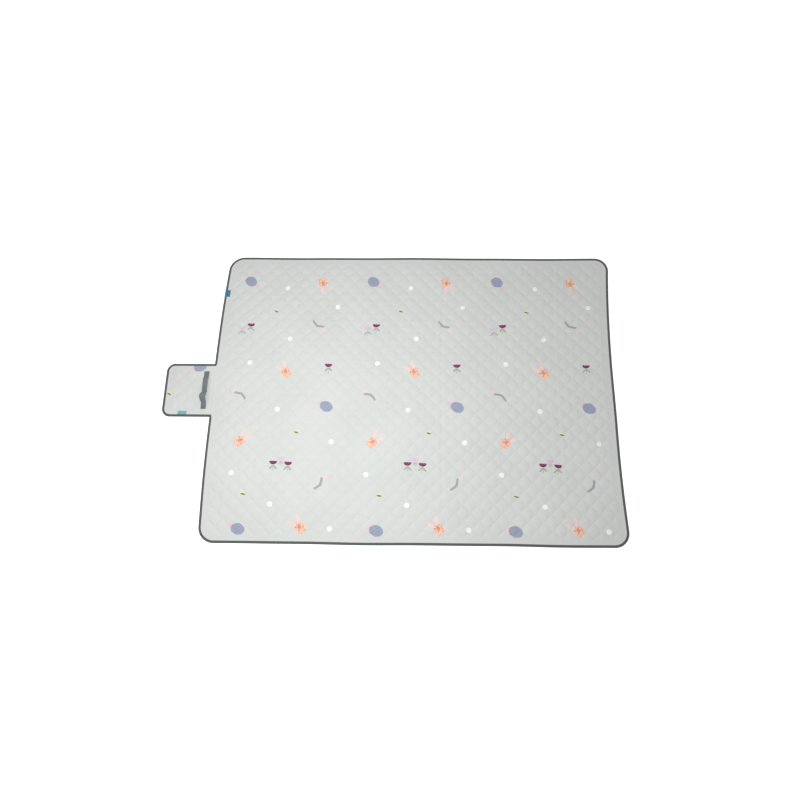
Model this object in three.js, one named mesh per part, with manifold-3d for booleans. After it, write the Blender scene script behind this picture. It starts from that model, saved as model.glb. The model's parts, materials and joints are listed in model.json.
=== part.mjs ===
// Quilted picnic blanket with a fold-over flap and a webbing handle.
// Millimetres, +X along the blanket's length (the flap is at -X), +Y to its far side, +Z up.
// The origin is under the middle of the whole object, flap included, on the ground.
//
// The blanket is a sandwich of a printed cover, a wadding and a waterproof backing, bound all
// round with a folded tape. It folds in fifths along its length: two rows from the far side and
// two from the near side roll onto the centre row, which carries the flap. The flap has a spine,
// as wide as the folded pack is thick, and a panel beyond it that closes the pack.

import * as THREE from "three";
import { mergeVertices } from "three/addons/utils/BufferGeometryUtils.js";
import Module from "manifold-3d";

const wasm = await Module();
wasm.setup();

// ---------------------------------------------------------------- driving dimensions
const MAT_LENGTH = 2000; // X, over the binding
const MAT_WIDTH = 1500; // Y, over the binding
const MAT_CORNER_RADIUS = 75;
const FLAP_REACH = 240; // how far the flap stands out past the mat's edge
const FLAP_WIDTH = 280; // Y, over the binding
const FLAP_CORNER_RADIUS = 42;
const FLAP_MARGIN = 10; // centre row left on each side of the flap
const SPINE_WIDTH = 98; // edge of the mat to the flap's own fold
const HANDLE_FROM_MAT = 35; // edge of the mat to the webbing's middle line

const CLOTH = 0.8; // cover, backing and binding tape
const WADDING = 3.0;
const LAYER_GAP = 0.3; // air between pieces that touch
const BINDING_WIDTH = 12; // how far the tape laps over the edge
const STACK_AIR = 6.4; // room between folded rows

const WEBBING_WIDTH = 25;
const WEBBING_THICKNESS = 1.6;
const HANDLE_LENGTH = 198; // over its two sewn ends
const HANDLE_SEWN = 25; // length of webbing stitched down at each end
const HANDLE_LIFT = 10; // height of the free webbing over the spine
const HANDLE_RUN_UP = 24; // length over which it climbs from each sewn end
const HUMP_RISE = 25; // height where the webbing's slack gathers
const HUMP_Y = -38; // middle of that hump
const HUMP_HALF_LENGTH = 30;
const SWING_SETBACK_FAR = 22; // webbing between each sewn end and the part that swings
const SWING_SETBACK_NEAR = 16;

const PATCH_LENGTH = 100; // hook and loop patches, along Y
const PATCH_WIDTH = 30; // and along X
const PATCH_INSET = 30; // from the flap's end to the hook patch
const PACK_LENGTH = 286; // the rolled pack's length, a seventh of the mat's
const LABEL_THICKNESS = 0.8;
const SIDE_LABEL_LENGTH = 38;
const SIDE_LABEL_DEPTH = 28;
const SIDE_LABEL_FROM_CORNER = 214; // far edge to the label's middle
const FLAP_LABEL_LENGTH = 44;
const FLAP_LABEL_DEPTH = 18;
const FLAP_LABEL_FROM_END = 103; // flap's end to the label's middle

// ---------------------------------------------------------------- worked-out places
const THICKNESS = 2 * CLOTH + 2 * LAYER_GAP + WADDING;
const MAT_RIGHT = (MAT_LENGTH + FLAP_REACH) / 2;
const MAT_LEFT = MAT_RIGHT - MAT_LENGTH;
const FLAP_END = MAT_LEFT - FLAP_REACH;
const CENTRE_ROW = FLAP_WIDTH + 2 * FLAP_MARGIN;
const SIDE_ROW = (MAT_WIDTH - CENTRE_ROW) / 4;
const ROW_EDGES = {
  far_outer: [CENTRE_ROW / 2 + SIDE_ROW, MAT_WIDTH / 2],
  far_inner: [CENTRE_ROW / 2, CENTRE_ROW / 2 + SIDE_ROW],
  centre: [-CENTRE_ROW / 2, CENTRE_ROW / 2],
  near_inner: [-CENTRE_ROW / 2 - SIDE_ROW, -CENTRE_ROW / 2],
  near_outer: [-MAT_WIDTH / 2, -CENTRE_ROW / 2 - SIDE_ROW],
};
const FOLD_SETBACK = THICKNESS / 2 + LAYER_GAP; // lets a panel turn 90 degrees either way
const SPINE_FOLD_X = MAT_LEFT - FOLD_SETBACK;
const FLAP_FOLD_X = MAT_LEFT - SPINE_WIDTH;
const HANDLE_X = MAT_LEFT - HANDLE_FROM_MAT;
const BEYOND = 50; // how far a cutting solid runs past what it cuts
const CORNER_STEPS = 10;

// Fold axes, for the joints: a row lies STACK_AIR above the one that it folds onto.
const ROW_PITCH = THICKNESS + STACK_AIR;
const OUTER_FOLD_Z = (ROW_PITCH + THICKNESS) / 2;
const FAR_FOLD_Z = (2 * ROW_PITCH + THICKNESS) / 2;
const NEAR_FOLD_Z = (4 * ROW_PITCH + THICKNESS) / 2;

// Heights of the layers, from the ground up.
const LAYERS = {
  backing: [0, CLOTH],
  wadding: [CLOTH + LAYER_GAP, CLOTH + LAYER_GAP + WADDING],
  cover: [THICKNESS - CLOTH, THICKNESS],
};

// ---------------------------------------------------------------- materials
function cloth(color, roughness) {
  return new THREE.MeshStandardMaterial({ color, roughness, metalness: 0 });
}
const MATERIALS = {
  cover: cloth(0xdce0df, 0.9),
  wadding: cloth(0xf4f4f0, 1.0),
  backing: cloth(0x8d9698, 0.55),
  binding: cloth(0x5a5f5d, 0.8),
  webbing: cloth(0x737a78, 0.75),
  hook: cloth(0x6f7674, 0.7),
  loop: cloth(0x6f7674, 0.95),
  label: cloth(0x3c7391, 0.7),
};

// ---------------------------------------------------------------- solids
// A closed mesh as a solid that can be cut.
function toSolid(geometry) {
  const bare = geometry.clone();
  bare.deleteAttribute("normal");
  bare.deleteAttribute("uv");
  const merged = mergeVertices(bare, 1e-4);
  return new wasm.Manifold(
    new wasm.Mesh({
      numProp: 3,
      vertProperties: new Float32Array(merged.attributes.position.array),
      triVerts: new Uint32Array(merged.index.array),
    }),
  );
}

function toGeometry(solid) {
  const mesh = solid.getMesh();
  const geometry = new THREE.BufferGeometry();
  geometry.setAttribute("position", new THREE.BufferAttribute(mesh.vertProperties, 3));
  geometry.setIndex(new THREE.BufferAttribute(mesh.triVerts, 1));
  geometry.computeVertexNormals();
  return geometry;
}

// A rectangle with its four corners rounded.
function roundedOutline(x0, x1, y0, y1, radius) {
  const outline = new THREE.Shape();
  outline.absarc(x1 - radius, y1 - radius, radius, 0, Math.PI / 2);
  outline.absarc(x0 + radius, y1 - radius, radius, Math.PI / 2, Math.PI);
  outline.absarc(x0 + radius, y0 + radius, radius, Math.PI, 1.5 * Math.PI);
  outline.absarc(x1 - radius, y0 + radius, radius, 1.5 * Math.PI, 2 * Math.PI);
  return outline;
}

function plate(outline, z0, z1) {
  const options = { depth: z1 - z0, bevelEnabled: false, curveSegments: CORNER_STEPS };
  return new THREE.ExtrudeGeometry(outline, options).translate(0, 0, z0);
}

function block(x0, x1, y0, y1, z0, z1) {
  const geometry = new THREE.BoxGeometry(x1 - x0, y1 - y0, z1 - z0);
  return geometry.translate((x0 + x1) / 2, (y0 + y1) / 2, (z0 + z1) / 2);
}

// The whole mat's plan, drawn in by an inset, between two heights.
function matPlate(inset, z0, z1) {
  const halfWidth = MAT_WIDTH / 2 - inset;
  const radius = MAT_CORNER_RADIUS - inset;
  const outline = roundedOutline(MAT_LEFT + inset, MAT_RIGHT - inset, -halfWidth, halfWidth, radius);
  return toSolid(plate(outline, z0, z1));
}

// The flap's plan, drawn in on its three bound sides, and running on under the mat.
function flapPlate(inset, z0, z1) {
  const halfWidth = FLAP_WIDTH / 2 - inset;
  const radius = FLAP_CORNER_RADIUS - inset;
  const outline = roundedOutline(FLAP_END + inset, MAT_LEFT + BEYOND, -halfWidth, halfWidth, radius);
  return toSolid(plate(outline, z0, z1));
}

// A folded tape round a plan: its full height, less the sandwich inside it and the open middle.
function foldedTape(planPlate) {
  const whole = planPlate(0, 0, THICKNESS);
  const sandwich = planPlate(CLOTH, CLOTH, THICKNESS - CLOTH);
  const middle = planPlate(BINDING_WIDTH, -BEYOND, THICKNESS + BEYOND);
  return whole.subtract(sandwich).subtract(middle);
}

const group = new THREE.Group();

function add(name, geometry, material) {
  const mesh = new THREE.Mesh(geometry, material);
  mesh.name = name;
  group.add(mesh);
}

function addSolid(name, solid, material) {
  add(name, toGeometry(solid), material);
}

// ---------------------------------------------------------------- the hook and loop patches
// The patches lie flush with the backing's underside, where the soft wadding takes them in.
// Rolled up, the flap's hook patch meets the loop patch on the back of the near inner row.
const HOOK_X = FLAP_END + PATCH_INSET + PATCH_WIDTH / 2;
const CLOSED_REACH = FLAP_FOLD_X - HOOK_X;
const LOOP_X = MAT_LEFT + 2 * PACK_LENGTH - CLOSED_REACH;
const LOOP_Y = -CENTRE_ROW;

function patch(x, y, grow, z0, z1) {
  const halfWidth = PATCH_WIDTH / 2 + grow;
  const halfLength = PATCH_LENGTH / 2 + grow;
  return block(x - halfWidth, x + halfWidth, y - halfLength, y + halfLength, z0, z1);
}

// ---------------------------------------------------------------- the mat, row by row
// One row's share of a solid, kept clear of its neighbours at the fold lines.
function rowCut(row) {
  const [low, high] = ROW_EDGES[row];
  const y0 = low > -MAT_WIDTH / 2 ? low + LAYER_GAP / 2 : low - BEYOND;
  const y1 = high < MAT_WIDTH / 2 ? high - LAYER_GAP / 2 : high + BEYOND;
  const x0 = MAT_LEFT - BEYOND;
  return toSolid(block(x0, MAT_RIGHT + BEYOND, y0, y1, -BEYOND, THICKNESS + BEYOND));
}

// Where the flap is sewn on, the centre row's layers run out to the mat's edge.
function seamTab(z0, z1) {
  const halfWidth = FLAP_WIDTH / 2 - LAYER_GAP;
  return toSolid(block(MAT_LEFT, MAT_LEFT + 2 * BINDING_WIDTH, -halfWidth, halfWidth, z0, z1));
}

function addMatLayers(row) {
  const insets = {
    backing: BINDING_WIDTH + LAYER_GAP,
    wadding: CLOTH + LAYER_GAP,
    cover: BINDING_WIDTH + LAYER_GAP,
  };
  for (const layer of Object.keys(LAYERS)) {
    const [z0, z1] = LAYERS[layer];
    let solid = matPlate(insets[layer], z0, z1).intersect(rowCut(row));
    if (row === "centre") {
      solid = solid.add(seamTab(z0, z1));
    }
    if (row === "near_inner" && layer === "backing") {
      solid = solid.subtract(toSolid(patch(LOOP_X, LOOP_Y, LAYER_GAP, -BEYOND, CLOTH + LAYER_GAP / 2)));
    }
    addSolid(`${layer}_${row}`, solid, MATERIALS[layer]);
  }
}

// Half of the ground plane, to part the tape on the mat's two ends.
function sideHalf(side) {
  const [x0, x1] = side === "left" ? [MAT_LEFT - BEYOND, 0] : [0, MAT_RIGHT + BEYOND];
  return toSolid(block(x0, x1, -MAT_WIDTH, MAT_WIDTH, -BEYOND, THICKNESS + BEYOND));
}

function addMatBinding() {
  const tape = foldedTape(matPlate);
  for (const row of ["far_outer", "near_outer"]) {
    addSolid(`binding_${row}`, tape.intersect(rowCut(row)), MATERIALS.binding);
  }
  for (const row of ["far_inner", "near_inner"]) {
    for (const side of ["left", "right"]) {
      const solid = tape.intersect(rowCut(row)).intersect(sideHalf(side));
      addSolid(`binding_${row}_${side}`, solid, MATERIALS.binding);
    }
  }
  const centre = tape.intersect(rowCut("centre"));
  addSolid("binding_centre_right", centre.intersect(sideHalf("right")), MATERIALS.binding);
  // On the flap's side only a short end of tape is left above and below the flap.
  const x0 = MAT_LEFT - BEYOND;
  const edge = FLAP_WIDTH / 2;
  for (const [side, y0, y1] of [["far", edge, MAT_WIDTH], ["near", -MAT_WIDTH, -edge]]) {
    const keep = toSolid(block(x0, 0, y0, y1, -BEYOND, THICKNESS + BEYOND));
    addSolid(`binding_centre_left_${side}`, centre.intersect(keep), MATERIALS.binding);
  }
}

// ---------------------------------------------------------------- the flap and its spine
const FLAP_BANDS = {
  spine: [FLAP_FOLD_X + FOLD_SETBACK, SPINE_FOLD_X - FOLD_SETBACK],
  flap: [FLAP_END - BEYOND, FLAP_FOLD_X - FOLD_SETBACK],
};

function bandCut(band) {
  const [x0, x1] = FLAP_BANDS[band];
  return toSolid(block(x0, x1, -FLAP_WIDTH, FLAP_WIDTH, -BEYOND, THICKNESS + BEYOND));
}

function addFlapLayers(band) {
  const insets = {
    backing: BINDING_WIDTH + LAYER_GAP,
    wadding: CLOTH + LAYER_GAP,
    cover: BINDING_WIDTH + LAYER_GAP,
  };
  for (const layer of Object.keys(LAYERS)) {
    const [z0, z1] = LAYERS[layer];
    let solid = flapPlate(insets[layer], z0, z1).intersect(bandCut(band));
    if (band === "flap" && layer === "backing") {
      solid = solid.subtract(toSolid(patch(HOOK_X, 0, LAYER_GAP, -BEYOND, CLOTH + LAYER_GAP / 2)));
    }
    addSolid(`${layer}_${band}`, solid, MATERIALS[layer]);
  }
}

function addFlapBinding() {
  const tape = foldedTape(flapPlate);
  addSolid("binding_flap", tape.intersect(bandCut("flap")), MATERIALS.binding);
  const onSpine = tape.intersect(bandCut("spine"));
  const [x0, x1] = FLAP_BANDS.spine;
  for (const [side, y0, y1] of [["far", 0, FLAP_WIDTH], ["near", -FLAP_WIDTH, 0]]) {
    const keep = toSolid(block(x0, x1, y0, y1, -BEYOND, THICKNESS + BEYOND));
    addSolid(`binding_spine_${side}`, onSpine.intersect(keep), MATERIALS.binding);
  }
}

// ---------------------------------------------------------------- the webbing handle
// The webbing lies flat where it is sewn, climbs smoothly from each sewn end to a low run over
// the spine, and gathers its slack in one hump, a squared cosine high, towards its near end.
const HANDLE_HALF_SPAN = HANDLE_LENGTH / 2 - HANDLE_SEWN;
const HANDLE_BASE_Z = THICKNESS + LAYER_GAP;
const HANDLE_STEPS = 24;

function handleHeight(y) {
  const fromEnd = THREE.MathUtils.clamp(HANDLE_HALF_SPAN - Math.abs(y), 0, HANDLE_RUN_UP);
  const run = HANDLE_LIFT * THREE.MathUtils.smoothstep(fromEnd, 0, HANDLE_RUN_UP);
  const fromHump = Math.min(Math.abs(y - HUMP_Y) / HUMP_HALF_LENGTH, 1);
  return run + (HUMP_RISE - HANDLE_LIFT) * Math.cos((Math.PI / 2) * fromHump) ** 2;
}

// The stretch of webbing between two places along Y, as an edge-on band swept across its width.
function webbing(y0, y1) {
  const top = [];
  const bottom = [];
  for (let i = 0; i <= HANDLE_STEPS; i += 1) {
    const y = y0 + ((y1 - y0) * i) / HANDLE_STEPS;
    bottom.push(new THREE.Vector2(y, HANDLE_BASE_Z + handleHeight(y)));
    top.push(new THREE.Vector2(y, HANDLE_BASE_Z + WEBBING_THICKNESS + handleHeight(y)));
  }
  const side = new THREE.Shape([...bottom, ...top.reverse()]);
  const band = new THREE.ExtrudeGeometry(side, { depth: WEBBING_WIDTH, bevelEnabled: false });
  // The side view is drawn in Y and Z, so its own axes turn onto the frame's.
  band.applyMatrix4(new THREE.Matrix4().set(0, 0, 1, 0, 1, 0, 0, 0, 0, 1, 0, 0, 0, 0, 0, 1));
  return band.translate(HANDLE_X - WEBBING_WIDTH / 2, 0, 0);
}

function addHandle() {
  const swingFar = HANDLE_HALF_SPAN - SWING_SETBACK_FAR;
  const swingNear = -HANDLE_HALF_SPAN + SWING_SETBACK_NEAR;
  const end = HANDLE_LENGTH / 2;
  add("handle_strap", webbing(swingNear, swingFar), MATERIALS.webbing);
  add("handle_end_far", webbing(swingFar + LAYER_GAP, end), MATERIALS.webbing);
  add("handle_end_near", webbing(-end, swingNear - LAYER_GAP), MATERIALS.webbing);
}

// ---------------------------------------------------------------- the labels
// Two blank folded labels: one on the mat's edge tape, one inside the flap's near tape.
function addLabels() {
  const z0 = THICKNESS + LAYER_GAP;
  const z1 = z0 + LABEL_THICKNESS;
  const sideY = MAT_WIDTH / 2 - SIDE_LABEL_FROM_CORNER;
  const halfSide = SIDE_LABEL_LENGTH / 2;
  const sideEnd = MAT_LEFT + SIDE_LABEL_DEPTH;
  add("label_side", block(MAT_LEFT, sideEnd, sideY - halfSide, sideY + halfSide, z0, z1), MATERIALS.label);
  const flapX = FLAP_END + FLAP_LABEL_FROM_END;
  const halfFlap = FLAP_LABEL_LENGTH / 2;
  const flapY = -FLAP_WIDTH / 2 + BINDING_WIDTH;
  const flapTop = flapY + FLAP_LABEL_DEPTH;
  add("label_flap", block(flapX - halfFlap, flapX + halfFlap, flapY, flapTop, z0, z1), MATERIALS.label);
}

// ---------------------------------------------------------------- assembly
for (const row of Object.keys(ROW_EDGES)) {
  addMatLayers(row);
}
addMatBinding();
for (const band of Object.keys(FLAP_BANDS)) {
  addFlapLayers(band);
}
addFlapBinding();
addHandle();
add("hook_patch", patch(HOOK_X, 0, 0, 0, CLOTH), MATERIALS.hook);
add("loop_patch", patch(LOOP_X, LOOP_Y, 0, 0, CLOTH), MATERIALS.loop);
addLabels();

// The joints' axes: each row fold runs along X, the spine's and the flap's along Y, and the
// handle swings about the line through its two sewn ends.
group.userData.foldAxes = {
  far_outer_fold: [0, ROW_EDGES.far_outer[0], OUTER_FOLD_Z],
  far_inner_fold: [0, ROW_EDGES.far_inner[0], FAR_FOLD_Z],
  near_outer_fold: [0, ROW_EDGES.near_outer[1], OUTER_FOLD_Z],
  near_inner_fold: [0, ROW_EDGES.near_inner[1], NEAR_FOLD_Z],
  spine_fold: [SPINE_FOLD_X, 0, THICKNESS / 2],
  flap_fold: [FLAP_FOLD_X, 0, THICKNESS / 2],
  handle_swing: [HANDLE_X, 0, HANDLE_BASE_Z],
};

export default group;
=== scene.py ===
# %% [markdown]
# # A quilted picnic blanket
# This lesson dresses a plain working model of a blanket in its real cloth. The working model
# holds the sizes, the folds and the weight. Here each of its flat plates is replaced by a
# surface worked out with numpy, and each surface gets a material made of shader nodes.
# The first cell loads the working model and keeps its parts, to read sizes from.

# %% Load the working model
import json

import bpy
import numpy as np
from mathutils import Matrix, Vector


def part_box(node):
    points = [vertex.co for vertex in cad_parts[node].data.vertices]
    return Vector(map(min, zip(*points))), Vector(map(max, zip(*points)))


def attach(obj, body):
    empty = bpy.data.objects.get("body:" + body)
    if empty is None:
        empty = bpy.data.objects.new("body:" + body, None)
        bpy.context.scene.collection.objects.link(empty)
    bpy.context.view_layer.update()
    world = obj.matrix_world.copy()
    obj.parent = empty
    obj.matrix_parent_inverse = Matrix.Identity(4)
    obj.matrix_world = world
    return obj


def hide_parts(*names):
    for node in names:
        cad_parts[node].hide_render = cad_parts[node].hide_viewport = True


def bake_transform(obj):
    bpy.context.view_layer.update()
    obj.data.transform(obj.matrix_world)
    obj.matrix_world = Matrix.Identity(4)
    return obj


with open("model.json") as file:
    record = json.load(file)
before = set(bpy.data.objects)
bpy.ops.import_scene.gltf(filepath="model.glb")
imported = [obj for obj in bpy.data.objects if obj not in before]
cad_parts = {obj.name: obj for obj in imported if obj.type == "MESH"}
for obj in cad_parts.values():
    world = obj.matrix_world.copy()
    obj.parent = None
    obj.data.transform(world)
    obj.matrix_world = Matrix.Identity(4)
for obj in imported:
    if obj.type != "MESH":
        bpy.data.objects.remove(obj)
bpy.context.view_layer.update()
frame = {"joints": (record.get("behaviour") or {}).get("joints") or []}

# %% [markdown]
# ## Places and sizes
# Every place comes from the working model, so the cloth always fits it. The mat lies with its
# length along X, and the flap stands out at its left end. Five rows run along the mat, and the
# fold lines lie where one row's cover stops and the next one's begins.

# %% Read the sizes from the model
MM = 0.001
mat_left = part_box("binding_far_outer")[0].x
mat_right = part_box("binding_far_outer")[1].x
mat_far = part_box("binding_far_outer")[1].y
flap_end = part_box("binding_flap")[0].x
flap_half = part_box("binding_flap")[1].y
fold_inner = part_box("cover_centre")[1].y
fold_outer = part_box("cover_far_inner")[1].y
joint_at = {j["name"]: j["pos_m"] for j in frame["joints"]}
spine_fold = joint_at["spine_fold"][0]
flap_fold = joint_at["flap_fold"][0]
handle_x = joint_at["handle_swing"][0]

MAT_CORNER = 75 * MM
FLAP_CORNER = 42 * MM
TAPE_WIDTH = 12 * MM
CELL = 3.125 * MM       # spacing of the grid that the cloth is worked out on
QUILT = 24 * CELL       # width of one quilted diamond, corner to corner
piece_edge = round((fold_inner + fold_outer) / 2 / QUILT) * QUILT + QUILT / 2
spine_middle = mat_left - 16 * CELL
print("mat:", mat_right - mat_left, "by", 2 * mat_far, "m, covers meet at y =", piece_edge)

# %% [markdown]
# ## How the mat lies
# A blanket thrown on the ground is never quite square. Its two ends bow a little the same way
# and lean over, its edges wander by a few millimetres, and it swells slightly where the ground
# is uneven. One smooth function gives that shift for any point of the cloth, and every layer,
# tape and label uses it, so they all stay together.

# %% The lay of the cloth
BOW = 16 * MM           # how far the left end's corners lie in from its middle
BOW_MORE = 4 * MM       # and the right end's, on top of that
LEAN = 10 * MM          # the far side lies this far right of the middle, and the near side left
WANDER = 1.2 * MM
SWELL = 0.5 * MM


def lay_of(x, y):
    """How far the ground-lain cloth is shifted from its flat cut, as three arrays.
    Along X it is a parabola and a line in Y, which bow and lean both ends, plus a slow wave.
    Along Y it is a slow wave in X. Upwards it is the sum of two long crossing waves."""
    x, y = np.broadcast_arrays(np.asarray(x, float), np.asarray(y, float))
    away = np.clip((np.abs(y) - flap_half) / (mat_far - flap_half), 0, 1)
    way = np.clip((x - mat_left) / (mat_right - mat_left), 0, 1)
    dx = (BOW + BOW_MORE * way) * away**2 + LEAN * away * np.sign(y)
    dx += WANDER * away * np.sin(9.0 * y + 1.3)
    far_x = np.clip((x - mat_left) / 0.3, 0, 1)
    dy = WANDER * far_x * (np.sin(6.1 * x + 0.8 * np.sign(y)) + 0.5 * np.sin(13.7 * x))
    wave = np.sin(7.3 * x + 4.1 * y) + np.sin(5.2 * x - 8.3 * y + 1.1)
    dz = SWELL * (2 + wave) * 0.5
    return dx, dy, dz


def settle(points):
    """Points on the flat cut, moved to where the cloth lies."""
    dx, dy, dz = lay_of(points[:, 0], points[:, 1])
    return points + np.stack([dx, dy, dz], axis=1)


# %% [markdown]
# ## Quilting
# The cover, the wadding and the backing are sewn together along two sets of slanting lines.
# Between the lines the wadding pushes the cover up into a puff, and at the lines the thread
# pulls it down. A bump map could draw that, but the puffs are large enough to see and to feel,
# so they are real height. A diamond has its puff where both of its slanting coordinates are
# half way between two lines.

# %% The quilted surface
STITCHED = 2.3 * MM     # thickness of the sandwich at a quilting line
PUFFED = 7.2 * MM       # and in the middle of a diamond
PUFF_POWER = 2.6        # the higher it is, the flatter a puff's top and the steeper its sides
UNEVEN = 0.14           # by this share puffs are fuller or flatter than usual
BACK_CLEAR = 0.35 * MM  # height of the backing in the middle of a diamond
BACK_LIFT = 0.5 * MM    # how far the thread pulls the backing up
BOUND_LIFT = 0.45 * MM  # how far the edge tape holds it up
EDGE_FLAT = 14 * MM     # the edge tape presses the sandwich flat this far in
EDGE_FULL = 60 * MM     # and the puffs reach their full height here
EDGE_SHARE = 0.15       # share of the puffs' height that is left at the tape
CREASE = 0.7 * MM       # memory of the folded pack
CREASE_HALF = 6 * MM
CREASE_PITCH = 0.286    # length of one turn of the pack
SEAM_DIP = 0.9 * MM     # groove of the seam between the mat and the flap
SEAM_HALF = 2.4 * MM
HANDLE_SEWN_AT = 86.5 * MM  # middle of each sewn end of the strap, from the flap's middle
SEWN_X, SEWN_Y = 13 * MM, 12 * MM  # half size of a sewn end, which presses the puffs flat
SEWN_FADE = 16 * MM     # they are full again this far from it
SEWN_SHARE = 0.1        # share of their height that is left under it


def rounded_inside(x, y, x0, x1, half_y, radius):
    """Distance in from the edge of a rectangle with rounded corners, negative outside it.
    It is the usual signed distance: clamp the overshoot past the corner's centre."""
    px = np.abs(x - (x0 + x1) / 2) - (x1 - x0) / 2 + radius
    py = np.abs(y) - half_y + radius
    outer = np.hypot(np.maximum(px, 0), np.maximum(py, 0))
    return radius - outer - np.minimum(np.maximum(px, py), 0)


def edge_distance(x, y):
    """Distance in from the bound edge, or from the seam between the mat and the flap."""
    on_mat = rounded_inside(x, y, mat_left, mat_right, mat_far, MAT_CORNER)
    long_flap = rounded_inside(x, y, flap_end, mat_left + 1, flap_half, FLAP_CORNER)
    on_flap = np.minimum(long_flap, mat_left - x)
    return np.where(x > mat_left, on_mat, on_flap)


def smooth(t):
    t = np.clip(t, 0, 1)
    return t * t * (3 - 2 * t)


def puff(x, y):
    """0 on every quilting line, 1 in the middle of each diamond. Along each slanting
    coordinate it is one minus a power of the way from the middle to the line."""
    a = (x - mat_left + y) / QUILT
    b = (x - mat_left - y) / QUILT
    from_a = np.abs(np.mod(a, 1) - 0.5) * 2
    from_b = np.abs(np.mod(b, 1) - 0.5) * 2
    return (1 - from_a**PUFF_POWER) * (1 - from_b**PUFF_POWER)


def creases(x, y):
    """Shallow valleys along the lines where the pack was folded."""
    along = np.abs(np.mod((x - mat_left) / CREASE_PITCH + 0.5, 1) - 0.5) * CREASE_PITCH
    across = np.minimum(np.abs(np.abs(y) - fold_inner), np.abs(np.abs(y) - fold_outer))
    return np.exp(-((along / CREASE_HALF) ** 2)) + np.exp(-((across / CREASE_HALF) ** 2))


def fullness(x, y):
    """How much of the puffs' height is left: little at the tape and where the strap's two ends
    are sewn down, and all of it away from them."""
    from_edge = smooth((edge_distance(x, y) - EDGE_FLAT) / (EDGE_FULL - EDGE_FLAT))
    out_x = np.maximum(np.abs(x - handle_x) - SEWN_X, 0)
    out_y = np.maximum(np.abs(np.abs(y) - HANDLE_SEWN_AT) - SEWN_Y, 0)
    from_end = smooth(np.hypot(out_x, out_y) / SEWN_FADE)
    at_edge = EDGE_SHARE + (1 - EDGE_SHARE) * from_edge
    return at_edge * (SEWN_SHARE + (1 - SEWN_SHARE) * from_end)


def backing_height(x, y):
    """The thread lifts the backing at the lines, and the tape holds it up along the edge."""
    bound = 1 - smooth((edge_distance(x, y) - TAPE_WIDTH) / (8 * MM))
    return BACK_CLEAR + BACK_LIFT * (1 - puff(x, y)) + BOUND_LIFT * bound


def cover_height(x, y):
    """Backing height plus the sandwich's thickness: stitched at the lines, puffed between."""
    full = fullness(x, y)
    uneven = 1 + UNEVEN * np.sin(31 * x + 17 * y) * np.sin(23 * y - 11 * x)
    swell = (PUFFED - STITCHED) * puff(x, y) * full * uneven
    sunk = CREASE * full * np.minimum(creases(x, y), 1)
    seam = SEAM_DIP * np.exp(-(((x - mat_left) / SEAM_HALF) ** 2)) * (np.abs(y) < flap_half)
    return backing_height(x, y) + STITCHED + swell - sunk - seam


def normals_of(height, x, y, step=1.2 * MM):
    """Upward normals of a height function, from central differences of it and of the lay."""
    def z(u, v):
        return height(u, v) + lay_of(u, v)[2]
    slope_x = (z(x + step, y) - z(x - step, y)) / (2 * step)
    slope_y = (z(x, y + step) - z(x, y - step)) / (2 * step)
    normal = np.stack([-slope_x, -slope_y, np.ones_like(x)], axis=1)
    return normal / np.linalg.norm(normal, axis=1)[:, None]


# %% [markdown]
# ## From arrays to a mesh
# These helpers turn grids of points into Blender meshes. A grid is cut to the blanket's rounded
# outline by dropping the faces that lie wholly outside it and pulling the rest of the outside
# points onto the outline. The cut edge ends up hidden inside the tape.

# %% Mesh helpers
def new_mesh(name, points, faces, material, smooth_faces=True):
    """A mesh object at the origin, from an array of points and a list of faces."""
    mesh = bpy.data.meshes.new(name)
    mesh.from_pydata(points.tolist(), [], [list(f) for f in faces])
    mesh.validate()
    mesh.polygons.foreach_set("use_smooth", np.full(len(mesh.polygons), smooth_faces))
    mesh.materials.append(material)
    piece = bpy.data.objects.new(name, mesh)
    bpy.context.scene.collection.objects.link(piece)
    return piece


def store(piece, name, values, domain="POINT"):
    """Keeps one 3-D vector per point or per face corner, for the materials to read."""
    layer = piece.data.attributes.new(name, "FLOAT_VECTOR", domain)
    layer.data.foreach_set("vector", np.asarray(values, np.float32).ravel())


def grid_faces(rows, columns):
    """The four corners of each cell of a grid of points, as an array with a row per face."""
    at = np.arange(rows * columns).reshape(rows, columns)
    corners = [at[:-1, :-1], at[1:, :-1], at[1:, 1:], at[:-1, 1:]]
    return np.stack([c.ravel() for c in corners], axis=1)


def closed_shell(top, bottom, faces):
    """Points and faces of a closed body between two skins that share a grid of faces. The rim
    is walled along the grid's open edges, those that no other face runs back along."""
    count = len(top)
    start = faces.ravel()
    end = np.roll(faces, -1, axis=1).ravel()
    rim = ~np.isin(start * count + end, end * count + start)
    first, second = start[rim], end[rim]
    walls = np.stack([first + count, second + count, second, first], axis=1)
    shell = np.concatenate([faces, faces[:, ::-1] + count, walls])
    return np.concatenate([top, bottom]), shell


def lines(low, high, spacing, fold=None, reach=0.0, finer=3):
    """Grid lines from low to high at the spacing, with finer ones near a fold."""
    count = max(2, int(round((high - low) / spacing)) + 1)
    made = np.linspace(low, high, count)
    if fold is None:
        return made
    close = np.abs((made[:-1] + made[1:]) / 2 - fold) < reach + spacing / 2
    parts = [np.linspace(a, b, finer + 1)[:-1] if c else [a]
             for a, b, c in zip(made[:-1], made[1:], close)]
    return np.append(np.concatenate(parts), made[-1])


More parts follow.
